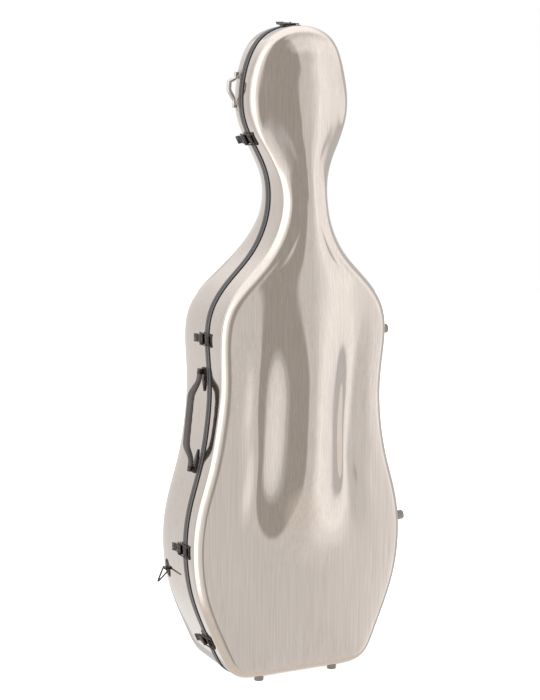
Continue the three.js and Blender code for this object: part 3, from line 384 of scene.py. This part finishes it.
# ---------------------------------------------------------------- linings
# Foam glued into each shell and covered with short velvet plush. It gives the inside its soft round corners,
# and its edge is finished with a sewn piping cord just inside the band.
plush_colour = "3d4048"
plush_shade = "292b31"
velvet_plush, tree, shader, place = start_finish("velvet_plush_over_foam")
pile = add_node(tree, "ShaderNodeTexNoise", {"Vector": place, "Scale": 700, "Detail": 4})
brushed = add_node(tree, "ShaderNodeTexNoise", {"Vector": place, "Scale": 9, "Detail": 3})
nap = add_node(tree, "ShaderNodeMath", {0: pile.outputs[0], 1: brushed.outputs[0]}, operation="MULTIPLY")
nap_share = add_node(tree, "ShaderNodeMapRange", {0: nap.outputs[0], 1: 0.12, 2: 0.42})
plush_tone = add_node(tree, "ShaderNodeMixRGB", {
    0: nap_share.outputs[0], 1: linear(plush_shade), 2: linear(plush_colour)})
fibres = add_node(tree, "ShaderNodeBump", {"Height": pile.outputs[0], "Distance": 0.0008, "Strength": 0.6})
tree.links.new(plush_tone.outputs[0], shader.inputs["Base Color"])
tree.links.new(fibres.outputs[0], shader.inputs["Normal"])
shader.inputs["Roughness"].default_value = 0.95
shader.inputs["Sheen Weight"].default_value = 0.8
shader.inputs["Sheen Roughness"].default_value = 0.4

piping_radius = 0.0019
piping_inset = 0.0024
lip_from_seam = 0.0093
lining_crease = 65
piping_cloth, tree, shader, place = start_finish("woven_piping_cloth")
rib = add_node(tree, "ShaderNodeTexNoise", {"Vector": place, "Scale": 1100, "Detail": 2})
rib_bump = add_node(tree, "ShaderNodeBump", {"Height": rib.outputs[0], "Distance": 0.0004, "Strength": 0.5})
rib_tone = add_node(tree, "ShaderNodeMixRGB", {0: rib.outputs[0], 1: linear("17181b"), 2: linear("303238")})
tree.links.new(rib_tone.outputs[0], shader.inputs["Base Color"])
tree.links.new(rib_bump.outputs[0], shader.inputs["Normal"])
shader.inputs["Roughness"].default_value = 0.8


def inner_lip(node, y):
    """The points of a lining's lip, round its inner edge in order."""
    bm = bmesh.new()
    bm.from_mesh(nodes[node].data)
    bmesh.ops.remove_doubles(bm, verts=bm.verts, dist=merge_within)
    onward = {}
    for edge in bm.edges:
        flat = [face for face in edge.link_faces if abs(face.normal.y) > 0.99]
        if len(flat) == 1 and all(abs(vert.co.y - y) < merge_within for vert in edge.verts):
            for vert in edge.verts:
                onward.setdefault(vert, []).append(edge.other_vert(vert))
    loops = []
    left = set(onward)
    while left:
        loop = [left.pop()]
        ahead = [vert for vert in onward[loop[-1]] if vert in left]
        while ahead:
            loop.append(ahead[0])
            left.remove(ahead[0])
            ahead = [vert for vert in onward[loop[-1]] if vert in left]
        loops.append([vert.co.copy() for vert in loop])
    bm.free()
    return min(loops, key=lambda loop: max(point.x for point in loop))


def outset(loop, reach):
    """A closed flat loop moved outwards by reach."""
    middle = sum(loop, Vector()) / len(loop)
    normals = []
    for before, after in zip(loop[-1:] + loop[:-1], loop[1:] + loop[:1]):
        along = (after - before).normalized()
        normals.append(Vector((along.z, 0, -along.x)))
    turn = 1 if sum((p - middle).dot(n) for p, n in zip(loop, normals)) > 0 else -1
    return [point + turn * reach * normal for point, normal in zip(loop, normals)]


def swept(name, points, radius, cyclic, body, slot):
    """A round cord through points."""
    curve = bpy.data.curves.new(name, "CURVE")
    curve.dimensions = "3D"
    curve.bevel_depth = radius
    curve.bevel_resolution = 3
    curve.use_fill_caps = True
    spline = curve.splines.new("NURBS")
    spline.points.add(len(points) - 1)
    for knot, point in zip(spline.points, points):
        knot.co = (*point, 1)
    spline.order_u = 4
    spline.resolution_u = 4
    spline.use_cyclic_u = cyclic
    spline.use_endpoint_u = not cyclic
    holder = bpy.data.objects.new(name, curve)
    scene.collection.objects.link(holder)
    bpy.context.view_layer.update()
    data = bpy.data.meshes.new_from_object(holder.evaluated_get(bpy.context.evaluated_depsgraph_get()))
    bpy.data.objects.remove(holder)
    bm = bmesh.new()
    bm.from_mesh(data)
    bmesh.ops.remove_doubles(bm, verts=bm.verts, dist=1e-6)
    bmesh.ops.recalc_face_normals(bm, faces=bm.faces)
    for face in bm.faces:
        face.smooth = True
    return make_piece(name, bm, body, slot)


for half, side in (("back", 1), ("lid", -1)):
    bm = pass_through_corners(drawn_smooth(quad_copy(f"{half}_lining", lining_crease)))
    lining = smooth_over(make_piece(f"{half}_plush_lining", bm, half, "lining", f"{half}_lining"), 2)
    paint(lining, velvet_plush)
    lip = inner_lip(f"{half}_lining", seam_y + side * lip_from_seam)
    piping = swept(f"{half}_lip_piping", outset(lip, piping_inset), piping_radius, True, half, "lining")
    paint(piping, piping_cloth)

# ---------------------------------------------------------------- latches
# Draw latches stamped from steel and plated with black nickel, dark and glossy with fine wear: a base with
# two ears fixed to the back shell, a lever with a pressed rib, a bent wire bail, and a hooked keeper that is
# riveted to the lid.
nickel_light = "6a6461"
nickel_dark = "46413f"
black_nickel, tree, shader, place = start_finish("black_nickel_plated_steel")
wear = add_node(tree, "ShaderNodeTexNoise", {"Vector": place, "Scale": 260, "Detail": 4})
wear_share = add_node(tree, "ShaderNodeMapRange", {0: wear.outputs[0], 1: 0.42, 2: 0.68})
plating = add_node(tree, "ShaderNodeMixRGB", {
    0: wear_share.outputs[0], 1: linear(nickel_dark), 2: linear(nickel_light)})
satin = add_node(tree, "ShaderNodeMapRange", {0: wear_share.outputs[0], 3: 0.16, 4: 0.32})
tree.links.new(plating.outputs[0], shader.inputs["Base Color"])
tree.links.new(satin.outputs[0], shader.inputs["Roughness"])
shader.inputs["Metallic"].default_value = 1

joints = {joint["name"]: joint for joint in frame["record"]["behaviour"]["joints"]}
edge_round = 0.0004
stamped_crease = 50
smooth_below = 48
turned_smooth_below = 40


def eased_copy(node, name, body, slot, width=edge_round):
    """A CAD node's mesh with its sharp edges rolled over, as a stamped or cast piece has them."""
    bm = bmesh.new()
    bm.from_mesh(nodes[node].data)
    bmesh.ops.remove_doubles(bm, verts=bm.verts, dist=merge_within)
    bmesh.ops.dissolve_limit(bm, angle_limit=math.radians(1), verts=bm.verts, edges=bm.edges)
    sharp = [edge for edge in bm.edges
             if edge.is_manifold and edge.calc_face_angle(0) > math.radians(stamped_crease)
             and edge.calc_length() > 3 * width]
    bmesh.ops.bevel(
        bm, geom=sharp, offset=width, segments=2, profile=0.5, affect="EDGES", clamp_overlap=False,
        material=-1)
    for face in bm.faces:
        face.smooth = True
    for edge in bm.edges:
        edge.smooth = edge.calc_face_angle(0) < math.radians(smooth_below)
    return make_piece(name, bm, body, slot, node)


def turned(profile, steps, matrix):
    """A turned shape: [radius, height] points spun round the z axis, then put in its place."""
    bm = bmesh.new()
    line = [bm.verts.new((radius, 0, height)) for radius, height in profile]
    edges = [bm.edges.new(pair) for pair in zip(line, line[1:])]
    bmesh.ops.spin(
        bm, geom=line + edges, cent=(0, 0, 0), axis=(0, 0, 1), angle=2 * math.pi, steps=steps, use_merge=True)
    bmesh.ops.remove_doubles(bm, verts=bm.verts, dist=1e-6)
    bmesh.ops.recalc_face_normals(bm, faces=bm.faces)
    bmesh.ops.transform(bm, matrix=matrix, verts=bm.verts)
    for face in bm.faces:
        face.smooth = True
    for edge in bm.edges:
        edge.smooth = edge.calc_face_angle(0) < math.radians(turned_smooth_below)
    return bm


def gathered(parts):
    """Several meshes as one."""
    whole = bmesh.new()
    for part in parts:
        data = bpy.data.meshes.new("part")
        part.to_mesh(data)
        part.free()
        whole.from_mesh(data)
        bpy.data.meshes.remove(data)
    return whole


def upright(point, up):
    """A place whose z axis points along up."""
    return Matrix.Translation(point) @ up.to_track_quat("Z", "Y").to_matrix().to_4x4()


def rivet_profile(radius, height):
    return [(0, height), (0.55 * radius, 0.9 * height), (0.85 * radius, 0.6 * height), (radius, 0.1 * height),
            (radius, -height), (0, -height)]


def screw_profile(radius, height):
    return [(0, 0.35 * height), (0.4 * radius, 0.35 * height), (0.46 * radius, height),
            (0.8 * radius, 0.85 * height), (radius, 0.3 * height), (radius, -height), (0, -height)]


def latch_place(spot):
    """The frame of a latch: x out of the case, y back from the seam, z along the edge."""
    pivot = joints[f"{spot}_lever_pivot"]
    along = -Vector(pivot["axis"])
    back = Vector((0, 1, 0))
    out = back.cross(along)
    turn = Matrix((out, back, along)).transposed().to_4x4()
    seat = Matrix.Translation((-pin_above_shell, -pin_behind_seam, 0))
    return Matrix.Translation(Vector(pivot["pos_m"])) @ turn @ seat


pin_above_shell = 0.0052
pin_behind_seam = 0.015
wire_crease = 75
small_head_sides = 14
keeper_top = 0.0018
keeper_rivet = (0.0019, 0.0007)
keeper_rivet_from_seam = 0.0195
keeper_rivet_spread = 0.0109
lever_top = 0.0081
lever_rib = ((0.0152, 0.0262), 0.0028, 0.0007)
for spot in ("top", "neck", "upper", "lower", "corner"):
    for part, body in (("base", "back"), ("lever", f"{spot}_lever"), ("keeper", "lid")):
        node = f"latch_{spot}_{part}"
        paint(eased_copy(node, f"{node}_stamping", body, "hardware"), black_nickel)
    bail = pass_through_corners(quad_copy(f"latch_{spot}_bail", wire_crease))
    wire = make_piece(f"latch_{spot}_bail_wire", bail, f"{spot}_bail", "hardware", f"latch_{spot}_bail")
    paint(smooth_over(wire, 2), black_nickel)
    at = latch_place(spot)
    heads = []
    for end in (-1, 1):
        seat = Vector((keeper_top, -keeper_rivet_from_seam, end * keeper_rivet_spread))
        place = at @ upright(seat, Vector((1, 0, 0)))
        heads.append(turned(rivet_profile(*keeper_rivet), small_head_sides, place))
    paint(make_piece(f"latch_{spot}_keeper_rivets", gathered(heads), "lid", "hardware"), black_nickel)
    (low, high), half_width, rise = lever_rib
    rib_mesh = bmesh.new()
    bmesh.ops.create_uvsphere(rib_mesh, u_segments=16, v_segments=8, radius=1)
    bmesh.ops.scale(rib_mesh, vec=(rise, (high - low) / 2, half_width), verts=rib_mesh.verts)
    bmesh.ops.transform(
        rib_mesh, matrix=at @ Matrix.Translation((lever_top, (low + high) / 2, 0)), verts=rib_mesh.verts)
    for face in rib_mesh.faces:
        face.smooth = True
    paint(make_piece(f"latch_{spot}_lever_rib", rib_mesh, f"{spot}_lever", "hardware"), black_nickel)

# ---------------------------------------------------------------- hinges
# Three butt hinges on one line down the right side, their leaves bent from plated steel sheet and screwed to
# each shell with two screws a leaf.
hinge_screw = (0.003, 0.0009)
hinge_screw_spread = 0.0118
hinge_screw_from_seam = 0.0245
hinge_head_sides = 16
hinge_axis = Vector(joints["lid_hinge"]["axis"])
# Rays that find a face start this far from the middle line, outside the case
outside = 0.3


def landed(node, point, way):
    """Where a ray meets a CAD node, and the way its face looks."""
    data = nodes[node].data
    faces = [face.vertices for face in data.polygons]
    surface = BVHTree.FromPolygons([vert.co for vert in data.vertices], faces)
    place, normal, _, _ = surface.ray_cast(point, way)
    if place is None:
        raise RuntimeError(f"no face of {node} under {tuple(point)}")
    return place, normal


for spot in ("lower", "middle", "upper"):
    for half, side in (("back", 1), ("lid", -1)):
        node = f"hinge_{spot}_{half}_leaf"
        paint(eased_copy(node, f"hinge_{spot}_{half}_leaf_stamping", half, "hardware"), black_nickel)
        low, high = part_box(node)
        centre = (Vector(low) + Vector(high)) / 2
        middle = Vector((outside, seam_y + side * hinge_screw_from_seam, centre.z))
        heads = []
        for end in (-1, 1):
            start = middle + end * hinge_screw_spread * hinge_axis
            start.x = outside
            place = upright(*landed(node, start, Vector((-1, 0, 0))))
            heads.append(turned(screw_profile(*hinge_screw), hinge_head_sides, place))
        paint(make_piece(f"hinge_{spot}_{half}_screws", gathered(heads), half, "hardware"), black_nickel)

# ---------------------------------------------------------------- side handle
# The carrying handle: moulded rubber on a steel core, satin warm grey with a fine leather-like grain, waved
# on the inside for the fingers. It turns on pins in two cast posts whose pointed bases are screwed to the
# shell.
grip_rubber, tree, shader, place = start_finish("moulded_grip_rubber")
hide = add_node(tree, "ShaderNodeTexVoronoi", {"Vector": place, "Scale": 900})
hide_bump = add_node(tree, "ShaderNodeBump", {"Height": hide.outputs[0], "Distance": 0.0003, "Strength": 0.4})
handled = add_node(tree, "ShaderNodeTexNoise", {"Vector": place, "Scale": 40, "Detail": 3})
rubber_tone = add_node(tree, "ShaderNodeMixRGB", {
    0: handled.outputs[0], 1: linear("423d3b"), 2: linear("5b5552")})
tree.links.new(rubber_tone.outputs[0], shader.inputs["Base Color"])
tree.links.new(hide_bump.outputs[0], shader.inputs["Normal"])
shader.inputs["Roughness"].default_value = 0.4

grip_copy = pass_through_corners(quad_copy("side_handle_grip", wire_crease))
grip = make_piece("side_handle_grip_moulding", grip_copy, "side_grip", "grip", "side_handle_grip")
paint(smooth_over(grip, 2), grip_rubber)


def post_with_screws(handle, end, screw, along, across, material):
    """A post's casting and two screws through its base, along from its middle and across from its line."""
    node = f"{handle}_{end}_post"
    paint(eased_copy(node, f"{node}_casting", "back", "hardware"), material)
    swing = joints[f"{handle.split('_')[0]}_grip_swing"]
    pivot = Vector(swing["pos_m"])
    line = Vector(swing["axis"])
    outward = Vector((0, 1, 0)).cross(line)
    outward *= -1 if outward.x > 0 else 1
    low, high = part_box(node)
    reach = ((Vector(low) + Vector(high)) / 2 - pivot).dot(line)
    reach += along if reach > 0 else -along
    heads = []
    for side in (-1, 1):
        start = pivot + reach * line + side * across * Vector((0, 1, 0)) + above_post * outward
        place = upright(*landed(node, start, -outward))
        heads.append(turned(screw_profile(*screw), small_head_sides, place))
    paint(make_piece(f"{node}_screws", gathered(heads), "back", "hardware"), material)


above_post = 0.05
side_post_screw = (0.0022, 0.0008)
side_screw_along = 0.009
side_screw_across = 0.0073
for end in ("upper", "lower"):
    post_with_screws("side_handle", end, side_post_screw, side_screw_along, side_screw_across, black_nickel)

# ---------------------------------------------------------------- head handle
# A small loop at the head for lifting the case upright, bent from round bar and plated bright. It swings in
# two posts, each screwed to the back shell with two small screws.
bright_plate, tree, shader, place = start_finish("bright_nickel_plated_bar")
haze = add_node(tree, "ShaderNodeTexNoise", {"Vector": place, "Scale": 180, "Detail": 3})
haze_rough = add_node(tree, "ShaderNodeMapRange", {0: haze.outputs[0], 3: 0.1, 4: 0.26})
haze_tone = add_node(tree, "ShaderNodeMixRGB", {
    0: haze.outputs[0], 1: linear("c2bebb"), 2: linear("dcd9d6")})
tree.links.new(haze_tone.outputs[0], shader.inputs["Base Color"])
tree.links.new(haze_rough.outputs[0], shader.inputs["Roughness"])
shader.inputs["Metallic"].default_value = 1

head_post_screw = (0.0017, 0.0006)
head_screw_along = 0.0005
head_screw_across = 0.0052
loop_copy = pass_through_corners(quad_copy("head_handle_grip", wire_crease))
loop = smooth_over(make_piece("head_handle_loop", loop_copy, "head_grip", "grip", "head_handle_grip"), 2)
paint(loop, bright_plate)
for end in ("upper", "lower"):
    post_with_screws("head_handle", end, head_post_screw, head_screw_along, head_screw_across, bright_plate)

# ---------------------------------------------------------------- strap rings
# On each side a three-sided ring of bent wire for a carrying strap, in the same black nickel. It swings in
# the barrel of a domed oval plate that is riveted to the back shell.
ring_rivet = (0.0022, 0.0008)
ring_rivet_spread = 0.0145
pressing_round = 0.0003
for side, hand in (("left", -1), ("right", 1)):
    node = f"strap_ring_{side}_plate"
    paint(eased_copy(node, f"{node}_pressing", "back", "hardware", pressing_round), black_nickel)
    ring_copy = pass_through_corners(quad_copy(f"strap_ring_{side}", wire_crease))
    ring = make_piece(f"strap_ring_{side}_wire", ring_copy, f"{side}_ring", "hardware", f"strap_ring_{side}")
    paint(smooth_over(ring, 2), black_nickel)
    low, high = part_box(node)
    pivot = Vector(joints[f"{side}_ring_swing"]["pos_m"])
    heads = []
    for end in (-1, 1):
        start = Vector((hand * outside, pivot.y, (low[2] + high[2]) / 2 + end * ring_rivet_spread))
        place = upright(*landed(node, start, Vector((-hand, 0, 0))))
        heads.append(turned(rivet_profile(*ring_rivet), small_head_sides, place))
    paint(make_piece(f"strap_ring_{side}_rivets", gathered(heads), "back", "hardware"), black_nickel)

# ---------------------------------------------------------------- feet
# Rubber feet under the case and taller ones along its hinged side, matt grey, each held by a pan-head screw
# down in its recess.
foot_crease = 50
foot_recess = 0.0035
foot_screw = (0.0027, 0.0016)
foot_rubber, tree, shader, place = start_finish("matt_foot_rubber")
dust = add_node(tree, "ShaderNodeTexNoise", {"Vector": place, "Scale": 300, "Detail": 3})
dust_tone = add_node(tree, "ShaderNodeMixRGB", {0: dust.outputs[0], 1: linear("767069"), 2: linear("8a847d")})
tree.links.new(dust_tone.outputs[0], shader.inputs["Base Color"])
shader.inputs["Roughness"].default_value = 0.7
mounts = {mount["name"]: mount for mount in frame["record"]["mounts"]}
for name in [node for node in nodes if node.startswith("foot_")]:
    body = "lid" if "_lid_" in name else "back"
    foot_mesh = pass_through_corners(quad_copy(name, foot_crease))
    paint(smooth_over(make_piece(f"{name}_turning", foot_mesh, body, "foot", name), 2), foot_rubber)
    down = Vector(mounts[f"{name}_tip"]["axis"])
    low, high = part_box(name)
    centre = (Vector(low) + Vector(high)) / 2
    if "bottom" in name:
        tip = Vector((centre.x, centre.y, mounts[f"{name}_tip"]["pos_m"][2]))
    else:
        tip = Vector(mounts[f"{name}_tip"]["pos_m"])
        tip.y = centre.y
    head = turned(screw_profile(*foot_screw), small_head_sides, upright(tip - foot_recess * down, down))
    paint(make_piece(f"{name}_screw", head, body, "hardware"), black_nickel)

# ---------------------------------------------------------------- padding and pockets
# Blocks of foam under the same plush: the neck cradle, the end cushion, two sleeves for the bow tips and the
# accessory pouch. But for the sleeves, the cloth is blown up a little over the foam, so its faces are crowned
# and its corners soft.
cloth_room = 0.0022
sleeve_gap = 0.0004
relax_rounds = 6
stuffing_steps = 20


def soft_copy(node, name, body, slot, voxel, sunk):
    """A CAD node's space as a padded form: remeshed, its edges relaxed, set in from its neighbours."""
    bm = bmesh.new()
    bm.from_mesh(nodes[node].data)
    bmesh.ops.remove_doubles(bm, verts=bm.verts, dist=merge_within)
    piece = make_piece(name, bm, body, slot, node)
    remesh = piece.modifiers.new("even mesh", "REMESH")
    remesh.mode = "VOXEL"
    remesh.voxel_size = voxel
    bpy.context.view_layer.update()
    even = bpy.data.meshes.new_from_object(piece.evaluated_get(bpy.context.evaluated_depsgraph_get()))
    piece.modifiers.clear()
    piece.data = even
    bm = bmesh.new()
    bm.from_mesh(even)
    for _ in range(relax_rounds):
        bmesh.ops.smooth_vert(
            bm, verts=bm.verts, factor=0.5, use_axis_x=True, use_axis_y=True, use_axis_z=True)
    bm.normal_update()
    for vert in bm.verts:
        vert.co -= sunk * vert.normal
    for face in bm.faces:
        face.smooth = True
    bm.to_mesh(even)
    bm.free()
    return piece


def blown_up(piece, pressure, most):
    """Cloth under pressure from inside for a few steps; no point moves further than most."""
    before = [vert.co.copy() for vert in piece.data.vertices]
    cloth = piece.modifiers.new("stuffing", "CLOTH")
    cloth.settings.use_pressure = True
    cloth.settings.uniform_pressure_force = pressure
    cloth.settings.effector_weights.gravity = 0
    cloth.point_cache.frame_start = 1
    cloth.point_cache.frame_end = stuffing_steps
    for step in range(1, stuffing_steps + 1):
        scene.frame_set(step)
    swollen = bpy.data.meshes.new_from_object(piece.evaluated_get(bpy.context.evaluated_depsgraph_get()))
    piece.modifiers.clear()
    for vert, start in zip(swollen.vertices, before):
        move = vert.co - start
        if move.length > most:
            vert.co = start + most * move.normalized()
    piece.data = swollen
    paint(piece, velvet_plush)
    for face in piece.data.polygons:
        face.use_smooth = True
    scene.frame_set(1)


# Each pad's node, the half it is fixed to, the fineness of its mesh and the pressure under its cloth
pads = (
    ("neck_cradle", "back", 0.003, 3),
    ("end_cushion", "back", 0.0045, 4),
    ("bow_pocket_left", "lid", 0.0025, 0),
    ("bow_pocket_right", "lid", 0.0025, 0),
    ("accessory_pouch", "lid", 0.0045, 4),
)
for node, body, voxel, pressure in pads:
    sunk = cloth_room if pressure else sleeve_gap
    pad = soft_copy(node, f"{node}_padding", body, "lining", voxel, sunk)
    paint(pad, velvet_plush)
    if pressure:
        blown_up(pad, pressure, sunk)

# ---------------------------------------------------------------- neck strap
# Woven nylon webbing over the instrument's neck, with its ribs drawn coarse so that they show. Its ends are
# fixed at both sides of the cradle.
webbing_crease = 60
webbing, tree, shader, place = start_finish("woven_nylon_webbing")
weave = add_node(
    tree, "ShaderNodeTexWave", {"Vector": place, "Scale": 220, "Distortion": 0.5}, bands_direction="Z")
weave_bump = add_node(tree, "ShaderNodeBump", {
    "Height": weave.outputs["Fac"], "Distance": 0.0004, "Strength": 0.7})
yarn = add_node(tree, "ShaderNodeMixRGB", {0: weave.outputs["Fac"], 1: linear("1b1c1f"), 2: linear("303236")})
tree.links.new(yarn.outputs[0], shader.inputs["Base Color"])
tree.links.new(weave_bump.outputs[0], shader.inputs["Normal"])
shader.inputs["Roughness"].default_value = 0.85
strap_copy = pass_through_corners(quad_copy("neck_strap", webbing_crease))
strap = smooth_over(make_piece("neck_strap_webbing", strap_copy, "back", "webbing", "neck_strap"), 2)
paint(strap, webbing)

# ---------------------------------------------------------------- bow clips
# Two turn buttons of moulded black nylon on blocks that are fixed through the lid's lining. Each holds the
# frog of a bow.
clip_edge_round = 0.0005
moulded_nylon, tree, shader, place = start_finish("moulded_black_nylon")
mould_skin = add_node(tree, "ShaderNodeTexNoise", {"Vector": place, "Scale": 1200, "Detail": 2})
skin_bump = add_node(tree, "ShaderNodeBump", {
    "Height": mould_skin.outputs[0], "Distance": 0.0002, "Strength": 0.35})
skin_tone = add_node(tree, "ShaderNodeMixRGB", {
    0: mould_skin.outputs[0], 1: linear("1d1d1f"), 2: linear("2b2b2e")})
tree.links.new(skin_tone.outputs[0], shader.inputs["Base Color"])
tree.links.new(skin_bump.outputs[0], shader.inputs["Normal"])
shader.inputs["Roughness"].default_value = 0.5
for side in ("left", "right"):
    for part, body in (("base", "lid"), ("button", f"{side}_button")):
        node = f"bow_clip_{side}_{part}"
        paint(eased_copy(node, f"{node}_moulding", body, "hardware", clip_edge_round), moulded_nylon)
